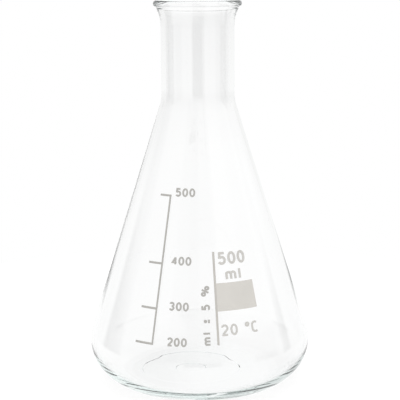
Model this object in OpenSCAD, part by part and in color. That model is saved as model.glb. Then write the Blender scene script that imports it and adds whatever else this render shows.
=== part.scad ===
// Narrow-neck conical laboratory flask, blown in one piece from borosilicate glass,
// with its scale, numerals and writing panel screen-printed in enamel and fired on.
// The origin is the middle of the foot, on the table. +Z is up and the print faces -Y.

/* [Overall size] */
// Height from the table to the top of the lip
height = 180; // [155:1:220]
// Outside diameter of the body at its widest
body_d = 105; // [92:1:130]
// Outside diameter of the straight neck
neck_d = 34; // [28:0.5:42]

/* [Body shape] */
// Radius that rounds the body into the foot
heel_r = 19.5; // [15:0.5:24]
// Radius of the hollow curve between the cone and the neck
shoulder_r = 20; // [14:0.5:28]
// Height of the neck and lip above that curve
neck_h = 42.5; // [34:0.5:54]

/* [Lip] */
// How far the lip stands out from the neck
lip_overhang = 3.4; // [2.6:0.1:4.5]
// Radius of the fire-polished bead along the lip
bead_r = 1.6; // [1.3:0.05:1.9]
// Radius of the flare under the bead, outside
flare_r = 18; // [14:0.5:24]
// Radius of the flare inside the mouth
mouth_r = 24; // [18:0.5:30]

/* [Glass] */
// Thickness of the neck
neck_wall = 1.8; // [1.4:0.1:2.6]
// Thickness of the cone
wall = 1.5; // [1.2:0.05:2]
// Thickness of the floor beside the heel
floor_t = 3.4; // [2.6:0.1:4.4]
// How much smaller the heel's radius is inside
heel_thickening = 3.5; // [2.5:0.1:4]
// Height of the dome in the middle of the floor, inside
floor_rise = 1.3; // [0.8:0.1:2.5]

/* [Pushed-up base] */
// Least width of the ring that the flask stands on
foot_w = 4.7; // [3:0.1:8]
// How far the mould's ring sits to the left of the middle
ring_shift = 4.3; // [0:0.1:6]
// Height of the hollow inside the foot
push_up = 0.5; // [0.4:0.05:0.8]
// Radius of the dimple in the middle of the hollow
dimple_r = 7; // [4:0.5:9]
// Depth of that dimple above the hollow
dimple_depth = 0.2; // [0.1:0.05:0.4]

/* [Scale] */
// Direction of the scale's long line, in degrees from the front
scale_angle = -25; // [-60:1:-20]
// Length of each tick, in degrees round the cone
tick_angle = 10; // [6:1:16]
// Width of the long line
line_w = 0.8; // [0.5:0.1:1.4]
// Width of the ticks
tick_w = 0.9; // [0.5:0.1:1.4]
// Thickness of the fired enamel
enamel_t = 0.15; // [0.1:0.01:0.3]

/* [Numbers] */
// Distance between the long line and the numerals, in degrees
numeral_angle = 13.2; // [10:0.1:18]
// Height of the numerals' middle above their tick
numeral_lift = 1.6; // [0:0.1:3]
// Height of the numerals beside the ticks
numeral_h = 4; // [3:0.1:5]
// Height of the large capacity number
capacity_h = 5.8; // [4.5:0.1:6.5]
// Height of the l in the unit under it
unit_h = 5.4; // [4:0.1:6]

/* [Writing panel and legends] */
// Direction of the upright rule left of the panel, in degrees
rule_angle = 9.7; // [8.5:0.1:14]
// Width of that rule
rule_w = 1; // [0.6:0.1:1.6]
// Height of the print's lower edge above the heel's curve
print_gap = 5.5; // [4:0.5:8]
// Height of the rule
rule_h = 39.5; // [36:0.5:46]
// Height of the panel for pencil notes
panel_h = 11.9; // [10:0.1:14]
// Height of the panel's lower edge above the rule's lower end
panel_lift = 14.2; // [12:0.1:16]
// Width of the panel, in degrees round the cone
panel_angle = 25; // [18:1:30]
// Height of the letters that read up the rule
legend_h = 3.9; // [3:0.1:4.2]
// Gap between the rule and that legend's foot, in degrees
legend_gap = 3.6; // [3:0.1:5]
// Height of the temperature mark under the panel
temperature_h = 5.2; // [3.5:0.1:6]

/* [Hidden] */

$fn = 96;
glass_colour = [0.86, 0.92, 0.91, 0.45];
enamel_colour = [0.8, 0.79, 0.76];
curve_step = 4; // degrees between the points of a curve

// The cone touches the heel's circle below and the shoulder's circle above.
neck_r = neck_d / 2;
bore_r = neck_r - neck_wall;
heel_c = [body_d / 2 - heel_r, heel_r];
shoulder_c = [neck_r + shoulder_r, height - neck_h];
between = shoulder_c - heel_c;
cone_a = atan2(between[1], between[0]) - acos((heel_r + shoulder_r) / norm(between));
cone_out = [cos(cone_a), sin(cone_a)];
cone_low = heel_c + heel_r * cone_out;
cone_high = shoulder_c - shoulder_r * cone_out;

// Inside, one circle touches the floor and the cone's inner face, and one the cone and the bore.
cone_in = cone_low * cone_out - wall;
heel_in_r = heel_r - heel_thickening;
heel_in_c = [(cone_in - heel_in_r - (floor_t + heel_in_r) * sin(cone_a)) / cos(cone_a),
             floor_t + heel_in_r];
heel_in_top = heel_in_c[1] + heel_in_r * sin(cone_a);
shoulder_in_r = shoulder_r + wall;
shoulder_in_x = bore_r + shoulder_in_r;
shoulder_in_c = [shoulder_in_x,
                 (cone_in + shoulder_in_r - shoulder_in_x * cos(cone_a)) / sin(cone_a)];

// The flare meets the bead in a crease under it. Inside, the bead touches the mouth's circle.
bead_c = [neck_r + lip_overhang - bead_r, height - bead_r];
crease_a = 75;
crease = bead_c + bead_r * [cos(crease_a), -sin(crease_a)];
flare_x = neck_r + flare_r;
flare_z = crease[1] - sqrt(pow(flare_r, 2) - pow(flare_x - crease[0], 2));
mouth_x = bore_r + mouth_r;
mouth_z = bead_c[1] - sqrt(pow(mouth_r - bead_r, 2) - pow(mouth_x - bead_c[0], 2));
flare_a = atan2(crease[1] - flare_z, flare_x - crease[0]);
mouth_a = atan2(bead_c[1] - mouth_z, mouth_x - bead_c[0]);

// The dome of the floor is part of one large circle.
dome_r = (pow(heel_in_c[0], 2) + pow(floor_rise, 2)) / (2 * floor_rise);
dome_a = asin(heel_in_c[0] / dome_r);
dome_steps = 6;
ring_r = heel_c[0] - foot_w - ring_shift;

// Millilitres held up to each height of the body, one slice at a time.
slice = 0.5;
ml = 1000; // cubic millimetres
function inside_r(z) = z < heel_in_top
    ? heel_in_c[0] + sqrt(pow(heel_in_r, 2) - pow(heel_in_c[1] - z, 2))
    : (cone_in - z * sin(cone_a)) / cos(cone_a);
function slice_volume(z) = PI * pow(inside_r(z + slice / 2), 2) * slice / ml;
dome_volume = PI * floor_rise * (3 * pow(heel_in_c[0], 2) + pow(floor_rise, 2)) / 6 / ml;
fill_table = [for (z = floor_t, v = -dome_volume; z < cone_high[1]; v = v + slice_volume(z), z = z + slice)
              [v, z]];
function fill_height(volume) = lookup(volume, fill_table);

// The marked capacity is the largest round volume that leaves headroom in the cone.
headroom = 0.08;
capacity_round = 50;
cone_volume = fill_table[len(fill_table) - 1][0];
capacity = floor(cone_volume * (1 - headroom) / capacity_round) * capacity_round;

// The marks are a fifth of it apart, or closer where the lowest would come too near the heel.
mark_room = 3;
mark_round = 10;
heel_volume = lookup(cone_low[1] + mark_room, [for (row = fill_table) [row[1], row[0]]]);
mark_step = min(capacity / 5, floor((capacity - heel_volume) / 3 / mark_round) * mark_round);
marks = [for (i = [0:3]) capacity - i * mark_step];

print_low = cone_low[1] + print_gap;
panel_middle_angle = rule_angle + panel_angle / 2;
panel_low = print_low + panel_lift;
panel_high = panel_low + panel_h;
unit_drop = 0.9;      // gap between the panel and the unit above it
capacity_drop = 1.6;  // gap between the unit and the capacity number
temperature_drop = 1; // how far the temperature mark sits under the middle of its space
reach = body_d;       // farther out than any glass
cut_depth = 2;        // how far a letter's prism runs each side of the glass

function on_circle(c, r, a) = c + r * [cos(a), sin(a)];
function arc(c, r, from, to, steps) = [for (i = [0:steps]) on_circle(c, r, from + (to - from) * i / steps)];
function curve(c, r, from, to) = arc(c, r, from, to, ceil(abs(to - from) / curve_step));
function cone_r(z) = (cone_low * cone_out - z * sin(cone_a)) / cos(cone_a);

// Strokes of each character, on a body one unit high, as middle lines of the pen.
function strokes(ch) =
    ch == "1" ? [[[0.08, 0.78], [0.34, 0.97]], [[0.34, 1], [0.34, 0]]] :
    ch == "2" ? [concat(curve([0.3, 0.71], 0.29, 165, -35), [[0.13, 0.09]]), [[0, 0], [0.6, 0]]] :
    ch == "3" ? [curve([0.29, 0.75], 0.25, 160, -95), curve([0.29, 0.27], 0.27, 95, -160)] :
    ch == "4" ? [[[0.44, 0], [0.44, 1]], [[0.42, 0.98], [0.02, 0.27], [0.62, 0.27]]] :
    ch == "5" ? [[[0.55, 1], [0.1, 1], [0.06, 0.47]], curve([0.28, 0.31], 0.31, 138, -150)] :
    ch == "6" ? [[[0.48, 1], [0.05, 0.45]]] :
    ch == "7" ? [[[0, 1], [0.6, 1], [0.2, 0]]] :
    ch == "9" ? [[[0.12, 0], [0.55, 0.55]]] :
    ch == "m" ? [[[0, 0], [0, 0.73]], concat(curve([0.24, 0.48], 0.24, 150, 0), [[0.48, 0]]),
                 concat(curve([0.72, 0.48], 0.24, 150, 0), [[0.96, 0]])] :
    ch == "l" ? [[[0.06, 0], [0.06, 1]]] :
    ch == "C" ? [concat([for (p = curve([0.33, 0.33], 0.33, 50, 180)) p + [0, 0.34]],
                        curve([0.33, 0.33], 0.33, 180, 310))] :
    ch == "±" ? [[[0, 0.62], [0.52, 0.62]], [[0.26, 0.36], [0.26, 0.88]], [[0, 0.1], [0.52, 0.1]]] :
    ch == "%" ? [[[0.86, 1], [0.42, 0]]] : [];
// Closed rings of each character: the middle, then the two half widths.
function rings(ch) =
    ch == "0" ? [[[0.3, 0.5], [0.3, 0.5]]] :
    ch == "6" ? [[[0.3, 0.3], [0.29, 0.3]]] :
    ch == "8" ? [[[0.3, 0.76], [0.24, 0.24]], [[0.3, 0.26], [0.28, 0.26]]] :
    ch == "9" ? [[[0.3, 0.7], [0.29, 0.3]]] :
    ch == "°" ? [[[0.16, 0.86], [0.16, 0.16]]] :
    ch == "%" ? [[[0.2, 0.76], [0.2, 0.24]], [[1.08, 0.24], [0.2, 0.24]]] : [];
function char_w(ch) = ch == "m" ? 0.96 : ch == "l" ? 0.12 : ch == "C" ? 0.55 : ch == "±" ? 0.52 :
    ch == "°" ? 0.32 : ch == "%" ? 1.28 : ch == " " ? 0.25 : 0.6;
// Width of a printed character, where share is the pen's width as a share of the height.
function printed_w(ch, share) = char_w(ch) * (1 - share) + share;
function char_start(chars, share, gap, i) = i == 0 ? 0 :
    char_start(chars, share, gap, i - 1) + printed_w(chars[i - 1], share) + gap;

// Edge of a pen line of width w that follows the points p, turned left by the sign of w.
function unit_vector(v) = v / norm(v);
function heading(p, i) = unit_vector(p[min(i + 1, len(p) - 1)] - p[min(i, len(p) - 2)]);
function bend(p, i) = i == 0 || i == len(p) - 1 ? heading(p, i)
    : unit_vector(heading(p, i - 1) + heading(p, i));
function miter(p, i) = 1 / max(0.6, bend(p, i) * heading(p, i));
function edge(p, w) = [for (i = [0:len(p) - 1]) p[i] + miter(p, i) * w / 2 * [-bend(p, i)[1], bend(p, i)[0]]];
function reversed(p) = [for (i = [len(p) - 1:-1:0]) p[i]];

module pen_line(p, w) polygon(concat(edge(p, w), reversed(edge(p, -w))));

module pen_ring(middle, half, w) {
    turn = [for (a = [0:15:345]) [cos(a), sin(a)]];
    outer = [for (t = turn) middle + [t[0] * (half[0] + w / 2), t[1] * (half[1] + w / 2)]];
    inner = [for (t = turn) middle + [t[0] * (half[0] - w / 2), t[1] * (half[1] - w / 2)]];
    rim = [for (i = [0:len(turn) - 1]) i];
    polygon(concat(outer, inner), paths = [rim, [for (i = rim) i + len(turn)]]);
}

// One character with its lower left corner at the origin.
module character(ch, h, share) {
    pen = share * h;
    size = h - pen;
    translate([pen / 2, pen / 2]) {
        for (s = strokes(ch)) pen_line(s * size, pen);
        for (r = rings(ch)) pen_ring(r[0] * size, r[1] * size, pen);
    }
}

// Puts its children flat on the cone at a height and an angle from the front.
module on_cone(z, angle) {
    rotate([0, 0, angle]) translate([0, -cone_r(z), z]) rotate([90 - cone_a, 0, 0]) children();
}

// A line of characters that reads round the cone, centred on an angle.
module level_print(chars, h, share, gap, z, angle) {
    middle = (char_start(chars, share, gap, len(chars)) - gap) / 2;
    for (i = [0:len(chars) - 1]) {
        half_w = printed_w(chars[i], share) / 2;
        off = (char_start(chars, share, gap, i) + half_w - middle) * h;
        on_cone(z, angle + off / cone_r(z) * 180 / PI)
            translate([-half_w * h, -h / 2, -cut_depth])
                linear_extrude(2 * cut_depth) character(chars[i], h, share);
    }
}

// A line of characters that reads up the cone, from height z, its foot at an angle.
module upright_print(chars, h, share, gap, z, angle) {
    for (i = [0:len(chars) - 1])
        on_cone(z + char_start(chars, share, gap, i) * h * cos(cone_a), angle)
            rotate([0, 0, 90]) translate([0, 0, -cut_depth])
                linear_extrude(2 * cut_depth) character(chars[i], h, share);
}

// The thin coat of enamel that every printed mark is cut from.
module enamel() {
    low = cone_low;
    high = cone_high;
    color(enamel_colour) intersection() {
        rotate_extrude() polygon([low, low + enamel_t * cone_out, high + enamel_t * cone_out, high]);
        children();
    }
}

// Upright bar of constant width on the front half of the cone.
module bar(angle, w, low, high) {
    rotate([0, 0, angle]) translate([-w / 2, -reach, low]) cube([w, reach, high - low]);
}

// Wedge between two angles and two heights on the front half of the cone.
module wedge(from, to, low, high) {
    translate([0, 0, low]) linear_extrude(high - low)
        polygon([[0, 0], reach * [sin(from), -cos(from)], reach * [sin(to), -cos(to)]]);
}

module flask() {
    outside = concat([[0, 0]],
                     curve(heel_c, heel_r, -90, 0),
                     curve(heel_c, heel_r, 0, cone_a),
                     curve(shoulder_c, shoulder_r, 180 + cone_a, 180),
                     curve([flare_x, flare_z], flare_r, 180, 180 - flare_a),
                     curve(bead_c, bead_r, -crease_a, 0),
                     curve(bead_c, bead_r, 0, 90));
    inside = concat(curve(bead_c, bead_r, 90, 180 - mouth_a),
                    curve([mouth_x, mouth_z], mouth_r, 180 - mouth_a, 180),
                    curve(shoulder_in_c, shoulder_in_r, 180, 180 + cone_a),
                    curve(heel_in_c, heel_in_r, cone_a, -90),
                    arc([0, floor_t + floor_rise - dome_r], dome_r, 90 - dome_a, 90, dome_steps));
    color(glass_colour) difference() {
        rotate_extrude() polygon(distinct(concat(outside, inside)));
        translate([-ring_shift, 0, 0]) hollow();
    }
}

// Drops points that repeat the one before, where two curves share an end.
function distinct(p) = [for (i = [0:len(p) - 1]) if (i == 0 || norm(p[i] - p[max(i - 1, 0)]) > 0.01) p[i]];

// The shallow hollow under the base, with its dimple.
module hollow() {
    ring_slope = 0.5;
    dimple_slope = 0.4;
    below = -1;
    step_up = push_up / 2;
    rotate_extrude() polygon([[0, below], [ring_r, below], [ring_r, 0], [ring_r - ring_slope, step_up],
        [dimple_r + dimple_slope, push_up], [dimple_r, push_up + dimple_depth], [0, push_up + dimple_depth]]);
}

module graduation_scale() {
    half = tick_w / 2;
    enamel() {
        bar(scale_angle, line_w, fill_height(marks[3]) - half, fill_height(marks[0]) + half);
        for (mark = marks) {
            z = fill_height(mark);
            wedge(scale_angle - tick_angle, scale_angle, z - half, z + half);
        }
    }
}

module numeral(mark) {
    share = 0.215;
    gap = 0.11;
    enamel() level_print(str(mark), numeral_h, share, gap, fill_height(mark) + numeral_lift,
                         scale_angle + numeral_angle);
}

module top_numeral() numeral(marks[0]);
module upper_numeral() numeral(marks[1]);
module lower_numeral() numeral(marks[2]);
module bottom_numeral() numeral(marks[3]);

module capacity_number() {
    share = 0.2;
    gap = 0.12;
    z = panel_high + unit_drop + unit_h * cos(cone_a) + capacity_drop + capacity_h / 2 * cos(cone_a);
    enamel() level_print(str(capacity), capacity_h, share, gap, z, panel_middle_angle);
}

module capacity_unit() {
    share = 0.2;
    gap = 0.16;
    z = panel_high + unit_drop + unit_h / 2 * cos(cone_a);
    enamel() level_print("ml", unit_h, share, gap, z, panel_middle_angle);
}

module writing_panel() {
    enamel() {
        bar(rule_angle, rule_w, print_low, print_low + rule_h);
        wedge(rule_angle, rule_angle + panel_angle, panel_low, panel_high);
    }
}

module tolerance_legend() {
    share = 0.23;
    gap = 0.24;
    enamel() upright_print("ml ± 5 %", legend_h, share, gap, print_low, rule_angle - legend_gap);
}

module temperature_legend() {
    share = 0.18;
    gap = 0.16;
    z = print_low + panel_lift / 2 - temperature_drop;
    enamel() level_print("20 °C", temperature_h, share, gap, z, panel_middle_angle);
}

flask();
graduation_scale();
top_numeral();
upper_numeral();
lower_numeral();
bottom_numeral();
capacity_number();
capacity_unit();
writing_panel();
tolerance_legend();
temperature_legend();
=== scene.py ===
import math

import bmesh
import bpy
from mathutils import Matrix, Vector


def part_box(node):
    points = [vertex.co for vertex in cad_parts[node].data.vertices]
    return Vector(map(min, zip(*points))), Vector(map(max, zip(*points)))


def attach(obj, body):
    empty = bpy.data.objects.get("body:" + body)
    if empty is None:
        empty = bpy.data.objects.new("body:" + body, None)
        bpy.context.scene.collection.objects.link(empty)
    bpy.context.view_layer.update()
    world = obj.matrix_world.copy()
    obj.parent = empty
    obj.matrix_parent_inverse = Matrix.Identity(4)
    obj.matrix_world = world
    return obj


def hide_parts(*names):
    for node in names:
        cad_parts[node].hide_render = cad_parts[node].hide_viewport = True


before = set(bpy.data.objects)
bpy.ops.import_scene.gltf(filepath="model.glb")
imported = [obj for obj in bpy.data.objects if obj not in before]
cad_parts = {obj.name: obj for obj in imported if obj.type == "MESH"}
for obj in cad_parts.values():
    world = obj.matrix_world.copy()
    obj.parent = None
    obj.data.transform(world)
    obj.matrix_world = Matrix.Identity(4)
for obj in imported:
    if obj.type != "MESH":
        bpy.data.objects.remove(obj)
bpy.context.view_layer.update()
scene = bpy.context.scene
scene.view_settings.view_transform = "Standard"


# ---- Camera ----
# A long lens about half a metre in front of the print, level with the lip and tipped down a little,
# so that the base shows as an ellipse. The flask leans a fraction of a degree, as it was held.
CAMERA_DISTANCE = 0.5456
CAMERA_HEIGHT = 0.2001
CAMERA_SIDE = 0.0006
CAMERA_TIP = math.radians(11.77)
CAMERA_ROLL = math.radians(-0.388)
CAMERA_LENS = 105.84

camera_data = bpy.data.cameras.new("camera")
camera_data.lens = CAMERA_LENS
camera_data.sensor_width = 36
camera = bpy.data.objects.new("camera", camera_data)
camera.matrix_world = (
    Matrix.Translation((CAMERA_SIDE, -CAMERA_DISTANCE, CAMERA_HEIGHT))
    @ Matrix.Rotation(math.pi / 2 - CAMERA_TIP, 4, "X")
    @ Matrix.Rotation(CAMERA_ROLL, 4, "Z")
)
scene.collection.objects.link(camera)
scene.camera = camera


# ---- Shader arithmetic ----
# Plain expressions on sockets: a + b, 1 - mask and so on add the Math nodes that they need.
class Value:
    def __init__(self, tree, socket):
        self.tree, self.socket = tree, socket

    def math(self, operation, *inputs):
        node = self.tree.nodes.new("ShaderNodeMath")
        node.operation = operation
        for slot, given in zip(node.inputs, inputs):
            if isinstance(given, Value):
                self.tree.links.new(given.socket, slot)
            else:
                slot.default_value = given
        return Value(self.tree, node.outputs[0])

    def __add__(self, other):
        return self.math("ADD", self, other)

    def __radd__(self, other):
        return self.math("ADD", other, self)

    def __sub__(self, other):
        return self.math("SUBTRACT", self, other)

    def __rsub__(self, other):
        return self.math("SUBTRACT", other, self)

    def __mul__(self, other):
        return self.math("MULTIPLY", self, other)

    def __rmul__(self, other):
        return self.math("MULTIPLY", other, self)

    def __truediv__(self, other):
        return self.math("DIVIDE", self, other)

    def __abs__(self):
        return self.math("ABSOLUTE", self)

    def clamped(self):
        return self.math("MINIMUM", self.math("MAXIMUM", self, 0), 1)


class Recipe:
    """A node tree that is written one node at a time."""

    def __init__(self, owner):
        owner.use_nodes = True
        self.tree = owner.node_tree
        self.tree.nodes.clear()

    def node(self, kind, settings=None, **inputs):
        """Adds a node, sets its settings first, then links or sets its inputs by name."""
        node = self.tree.nodes.new(kind)
        for name, setting in (settings or {}).items():
            setattr(node, name, setting)
        for name, given in inputs.items():
            slot = node.inputs[int(name[1:])] if name[1:].isdigit() else node.inputs[name.replace("_", " ")]
            if isinstance(given, Value):
                self.tree.links.new(given.socket, slot)
            else:
                slot.default_value = given
        return node

    def out(self, node, name=0):
        return Value(self.tree, node.outputs[name])


# ---- Studio ----
# A white table and a white surround, as bright behind glass as in the open. What glass reflects also
# has the darker gaps between the light panels, which draw the soft bands. Light that slips through
# the wall's edge alone sees the gaps beside the backdrop, so the outline is drawn and the rest is clear.
PLAIN_LEVEL = 0.8
TURNS_IN_GLASS = 32
scene.cycles.max_bounces = 40
scene.cycles.glossy_bounces = TURNS_IN_GLASS
scene.cycles.transmission_bounces = TURNS_IN_GLASS
GAPS = [
    # middle, half width and softness in degrees round from the front, darkness at table height and above
    (3, 20, 3, 0.8, 0.1),
    (-104, 17, 6, 0.8, 0.25),
    (73, 17, 6, 0.4, 0.1),
    (102, 7, 3, 0.8, 0.1),
    (-76, 104, 3, 0, 0.22),
    (-17, 19, 4, 0, 0.2),
]
GAP_TOP, GAP_FADE = 0.06, 0.08
SIDE_GAP, SIDE_GAP_HALF, SIDE_SOFTNESS, SIDE_DEPTH = 156, 10, 4, 0.75
SIDE_GAP_TOP, SIDE_GAP_FADE = -0.14, 0.05
EDGE_CROSSINGS = 2
HAZE, HAZE_LOW, HAZE_FADE = 0.085, -0.16, 0.12

world = bpy.data.worlds.new("studio")
scene.world = world
studio = Recipe(world)
direction = studio.node("ShaderNodeTexCoord")
parts = studio.node("ShaderNodeSeparateXYZ", Vector=studio.out(direction, "Generated"))
side, away, up = (studio.out(parts, name) for name in "XYZ")
path = studio.node("ShaderNodeLightPath")
reflected = studio.out(path, "Glossy Depth").clamped()
around = side.math("ARCTAN2", side, away * -1) * (180 / math.pi)
low_darkness = ((up - HAZE_LOW) / HAZE_FADE).clamped() * HAZE
high_darkness = 0
for middle, half_width, softness, low_depth, high_depth in GAPS:
    gap = ((half_width - abs(around - middle)) / softness).clamped()
    low_darkness = gap * reflected * low_depth + low_darkness
    high_darkness = gap * reflected * high_depth + high_darkness
lowness = ((GAP_TOP - up) / GAP_FADE + 1).clamped()
beside_backdrop = ((SIDE_GAP_HALF - abs(abs(around) - SIDE_GAP)) / SIDE_SOFTNESS).clamped()
through_edge = (EDGE_CROSSINGS + 1 - studio.out(path, "Transmission Depth")).clamped()
below_sight = ((SIDE_GAP_TOP - up) / SIDE_GAP_FADE).clamped()
beside_backdrop = beside_backdrop * below_sight * through_edge * SIDE_DEPTH
level = (1 - low_darkness * lowness - high_darkness * (1 - lowness) - beside_backdrop).clamped()
seen_plainly = studio.out(path, "Is Camera Ray")
seen_in_glass = (studio.out(path, "Is Glossy Ray") + studio.out(path, "Is Transmission Ray")).clamped()
strength = seen_plainly + seen_in_glass * level + (1 - seen_plainly - seen_in_glass) * PLAIN_LEVEL
white = studio.node("ShaderNodeBackground", Strength=strength)
white.inputs["Color"].default_value = (1, 1, 1, 1)
studio.node("ShaderNodeOutputWorld", Surface=studio.out(white))

LAMP_SIZE, LAMP_POWER = 0.8, 6
LAMP_AT = (0, -0.2, 1.0)
lamp_data = bpy.data.lights.new("overhead", "AREA")
lamp_data.shape = "DISK"
lamp_data.size = LAMP_SIZE
lamp_data.energy = LAMP_POWER
lamp = bpy.data.objects.new("overhead", lamp_data)
lamp.matrix_world = Matrix.Translation(LAMP_AT)
lamp.visible_glossy = False
lamp.visible_transmission = False
scene.collection.objects.link(lamp)

TABLE_R = 0.25
TABLE_DEPTH = 0.0003
LAMINATE = (0.9, 0.9, 0.9, 1)
TABLE_SHADOW, SHADOW_IN_GLASS = 0.15, 0.05
TABLE_SEEN, TABLE_IN_GLASS = 1.08, 1
table_mesh = bmesh.new()
bmesh.ops.create_circle(table_mesh, cap_ends=True, segments=96, radius=TABLE_R)
bmesh.ops.translate(table_mesh, verts=table_mesh.verts, vec=(0, 0, -TABLE_DEPTH))
table_data = bpy.data.meshes.new("table")
table_mesh.to_mesh(table_data)
table_mesh.free()
table = bpy.data.objects.new("table", table_data)
scene.collection.objects.link(table)
table_white = bpy.data.materials.new("table_white")
laminate = Recipe(table_white)
ray = laminate.node("ShaderNodeLightPath")
seen_plainly = laminate.out(ray, "Is Camera Ray")
seen_in_glass = (laminate.out(ray, "Is Glossy Ray") + laminate.out(ray, "Is Transmission Ray")).clamped()
unshaded = seen_plainly * (1 - TABLE_SHADOW) + seen_in_glass * (1 - SHADOW_IN_GLASS)
lit = laminate.node("ShaderNodeBsdfDiffuse", Color=LAMINATE)
glow = laminate.node(
    "ShaderNodeEmission", Strength=TABLE_IN_GLASS + seen_plainly * (TABLE_SEEN - TABLE_IN_GLASS)
)
shade = laminate.node(
    "ShaderNodeMixShader", _0=unshaded, _1=laminate.out(lit), _2=laminate.out(glow)
)
laminate.node("ShaderNodeOutputMaterial", Surface=laminate.out(shade))
table.data.materials.append(table_white)


# ---- Flask ----
# One piece of borosilicate glass, blown into a mould: bead, flare, neck, shoulder, cone, heel and
# pushed-up base are one wall. Its outline is drawn with straights and arcs, then turned round Z.
MM = 0.001
flask_low, flask_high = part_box("flask")
BODY_R = flask_high.x / MM
HEIGHT = flask_high.z / MM
NECK_R, NECK_WALL, WALL = 17, 1.8, 1.5
HEEL_R, HEEL_IN_R = 19.5, 16
SHOULDER_R, NECK_H = 20, 42.5
LIP_OVERHANG, BEAD_R, FLARE_R, MOUTH_R = 3.4, 1.6, 18, 24
CREASE = math.radians(75)
FLOOR_T, FLOOR_RISE = 3.4, 1.3
FOOT_W, RING_SHIFT, PUSH_UP, DIMPLE_R, DIMPLE_DEPTH = 4.7, 4.3, 0.5, 7, 0.2
ROUND_STEPS = 512
ARC_STEP = math.radians(4)
END_STEP = 0.8


class Outline:
    """A half section in the XZ plane, in millimetres, drawn from the axis outwards."""

    def __init__(self, r, z):
        self.mesh = bmesh.new()
        self.tip = self.mesh.verts.new((r, 0, z))

    def corner(self, r, z):
        grown = bmesh.ops.extrude_vert_indiv(self.mesh, verts=[self.tip])
        self.tip = grown["verts"][0]
        self.tip.co = (r, 0, z)

    def line(self, r, z):
        """A straight between two curves, with a short step at each end so that the shading stays even."""
        start = self.tip.co.xz
        run = Vector((r, z)) - start
        margin = min(END_STEP / run.length, 0.25)
        for share in (margin, 1 - margin, 1):
            self.corner(*(start + run * share))

    def arc(self, centre, turn):
        """Turns the tip round a centre; a positive turn is anticlockwise in the section."""
        steps = max(1, round(abs(turn) / ARC_STEP))
        swept = bmesh.ops.spin(
            self.mesh, geom=[self.tip], cent=(centre[0], 0, centre[1]), axis=(0, -1, 0),
            angle=turn, steps=steps, use_merge=False,
        )
        self.tip = next(g for g in swept["geom_last"] if isinstance(g, bmesh.types.BMVert))


heel = Vector((BODY_R - HEEL_R, HEEL_R))
shoulder = Vector((NECK_R + SHOULDER_R, HEIGHT - NECK_H))
between = shoulder - heel
cone_angle = math.atan2(between.y, between.x) - math.acos((HEEL_R + SHOULDER_R) / between.length)
cone_out = Vector((math.cos(cone_angle), math.sin(cone_angle)))
cone_low = heel + HEEL_R * cone_out
cone_high = shoulder - SHOULDER_R * cone_out
cone_inside = cone_low.dot(cone_out) - WALL
heel_in_z = FLOOR_T + HEEL_IN_R
heel_in = Vector(((cone_inside - HEEL_IN_R - heel_in_z * cone_out.y) / cone_out.x, heel_in_z))
bore_r = NECK_R - NECK_WALL
shoulder_in_r = SHOULDER_R + WALL
shoulder_in_x = bore_r + shoulder_in_r
shoulder_in = Vector((
    shoulder_in_x, (cone_inside + shoulder_in_r - shoulder_in_x * cone_out.x) / cone_out.y
))
bead = Vector((NECK_R + LIP_OVERHANG - BEAD_R, HEIGHT - BEAD_R))
crease = bead + BEAD_R * Vector((math.cos(CREASE), -math.sin(CREASE)))
flare_run = NECK_R + FLARE_R - crease.x
flare = Vector((NECK_R + FLARE_R, crease.y - math.sqrt(FLARE_R**2 - flare_run**2)))
flare_angle = math.acos(flare_run / FLARE_R)
mouth_rise = math.sqrt((MOUTH_R - BEAD_R) ** 2 - (bore_r + MOUTH_R - bead.x) ** 2)
mouth = Vector((bore_r + MOUTH_R, bead.y - mouth_rise))
mouth_angle = math.atan2(mouth_rise, mouth.x - bead.x)
dome_r = (heel_in.x**2 + FLOOR_RISE**2) / (2 * FLOOR_RISE)
dome = Vector((0, FLOOR_T + FLOOR_RISE - dome_r))
dome_angle = math.asin(heel_in.x / dome_r)
ring_r = heel.x - FOOT_W - RING_SHIFT
RING_SLOPE, RING_STEP, DIMPLE_SLOPE = 0.5, 0.25, 0.4

outline = Outline(0, PUSH_UP + DIMPLE_DEPTH)
outline.corner(DIMPLE_R, PUSH_UP + DIMPLE_DEPTH)
outline.corner(DIMPLE_R + DIMPLE_SLOPE, PUSH_UP)
outline.corner(ring_r - RING_SLOPE, RING_STEP)
outline.corner(ring_r, 0)
outline.corner(heel.x, 0)
outline.arc(heel, math.pi / 2 + cone_angle)
outline.line(*cone_high)
outline.arc(shoulder, -cone_angle)
outline.line(NECK_R, flare.y)
outline.arc(flare, -flare_angle)
outline.arc(bead, math.pi + CREASE - mouth_angle)
outline.arc(mouth, mouth_angle)
outline.line(bore_r, shoulder_in.y)
outline.arc(shoulder_in, cone_angle)
outline.line(*(heel_in + HEEL_IN_R * cone_out))
outline.arc(heel_in, -math.pi / 2 - cone_angle)
outline.arc(dome, dome_angle)

glass_mesh = outline.mesh
bmesh.ops.spin(
    glass_mesh, geom=glass_mesh.verts[:] + glass_mesh.edges[:], cent=(0, 0, 0), axis=(0, 0, 1),
    angle=2 * math.pi, steps=ROUND_STEPS, use_merge=True,
)
bmesh.ops.remove_doubles(glass_mesh, verts=glass_mesh.verts, dist=0.001)
bmesh.ops.recalc_face_normals(glass_mesh, faces=glass_mesh.faces)
UNDER_FLOOR = FLOOR_T - 0.5
hollow = [v for v in glass_mesh.verts if v.co.xy.length < ring_r + 0.01 and v.co.z < UNDER_FLOOR]
bmesh.ops.translate(glass_mesh, verts=hollow, vec=(-RING_SHIFT, 0, 0))
bmesh.ops.scale(glass_mesh, verts=glass_mesh.verts, vec=(MM, MM, MM))
for face in glass_mesh.faces:
    face.smooth = any(
        v.co.xy.length > (heel.x + 0.01) * MM or v.co.z > UNDER_FLOOR * MM for v in face.verts
    )
flask_data = bpy.data.meshes.new("flask_glass")
glass_mesh.to_mesh(flask_data)
glass_mesh.free()
flask_glass = bpy.data.objects.new("flask_glass", flask_data)
scene.collection.objects.link(flask_glass)

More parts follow.
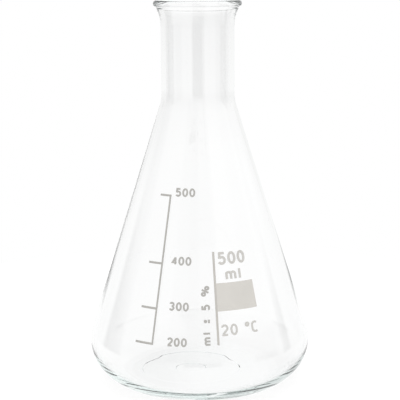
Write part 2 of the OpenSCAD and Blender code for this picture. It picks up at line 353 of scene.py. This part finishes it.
glass = bpy.data.materials.new("borosilicate_glass")
clear = Recipe(glass)
body = clear.node(
    "ShaderNodeBsdfPrincipled", Base_Color=(1, 1, 1, 1), Roughness=0, IOR=1.473, Transmission_Weight=1
)
tint = clear.node("ShaderNodeVolumeAbsorption", Color=(0.7, 0.87, 0.84, 1), Density=5.5)
clear.node("ShaderNodeOutputMaterial", Surface=clear.out(body), Volume=clear.out(tint))
flask_data.materials.append(glass)
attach(flask_glass, "root")
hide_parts("flask")


# ---- Enamel print ----
# Every mark is ceramic ink, pressed through a screen onto the cone and fired until it fuses with the
# glass. The scale's ink is the darkest, and the rule beside the panel is thinner than the panel.
RULE_ANGLE = math.radians(9.7)
RULE_EDGE = 0.0005
RULE_THINNING = 0.17
GRAIN_SCALE, GRAIN_DETAIL, GRAIN_SHADE = 2500, 3, 0.06
CLOUD_SCALE, CLOUD_DETAIL, CLOUD_SHADE = 180, 2, 0.08
ROUGHNESS, ROUGHNESS_SPREAD = 0.5, 0.2
RELIEF, RELIEF_DEPTH = 0.15, 0.00005


def enamel(name, tone, rule_thinning=0):
    """Fired ink of one tone: matte, with the fine grain of the screen, and thinner on the rule."""
    ink = bpy.data.materials.new(name)
    mix = Recipe(ink)
    place = mix.out(mix.node("ShaderNodeTexCoord"), "Object")
    grain_noise = mix.node("ShaderNodeTexNoise", Vector=place, Scale=GRAIN_SCALE, Detail=GRAIN_DETAIL)
    cloud_noise = mix.node("ShaderNodeTexNoise", Vector=place, Scale=CLOUD_SCALE, Detail=CLOUD_DETAIL)
    grain, cloud = mix.out(grain_noise), mix.out(cloud_noise)
    split = mix.node("ShaderNodeSeparateXYZ", Vector=place)
    past_rule = mix.out(split, "X") * math.cos(RULE_ANGLE) + mix.out(split, "Y") * math.sin(RULE_ANGLE)
    on_rule = past_rule.math("LESS_THAN", past_rule, RULE_EDGE)
    shade = 1 + (grain - 0.5) * GRAIN_SHADE + (cloud - 0.5) * CLOUD_SHADE - on_rule * rule_thinning
    colour = mix.node("ShaderNodeVectorMath", {"operation": "SCALE"}, Scale=shade)
    colour.inputs[0].default_value = tone
    rough = ROUGHNESS + (grain - 0.5) * ROUGHNESS_SPREAD
    relief = mix.node("ShaderNodeBump", Strength=RELIEF, Distance=RELIEF_DEPTH, Height=grain)
    surface = mix.node(
        "ShaderNodeBsdfPrincipled", Base_Color=mix.out(colour), Roughness=rough, Normal=mix.out(relief)
    )
    mix.node("ShaderNodeOutputMaterial", Surface=mix.out(surface))
    return ink


SCALE_TONE = (0.43, 0.42, 0.398)
LABEL_TONE = (0.56, 0.547, 0.52)
PANEL_TONE = (0.62, 0.6, 0.563)
scale_ink = enamel("scale_enamel", SCALE_TONE)
label_ink = enamel("label_enamel", LABEL_TONE)
panel_ink = enamel("panel_enamel", PANEL_TONE, RULE_THINNING)
INKS = {
    "graduation_scale": scale_ink,
    "top_numeral": scale_ink,
    "upper_numeral": scale_ink,
    "lower_numeral": scale_ink,
    "bottom_numeral": scale_ink,
    "tolerance_legend": scale_ink,
    "capacity_number": label_ink,
    "capacity_unit": label_ink,
    "temperature_legend": label_ink,
    "writing_panel": panel_ink,
}
for name, ink in INKS.items():
    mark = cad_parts[name]
    mark.data.materials.clear()
    mark.data.materials.append(ink)
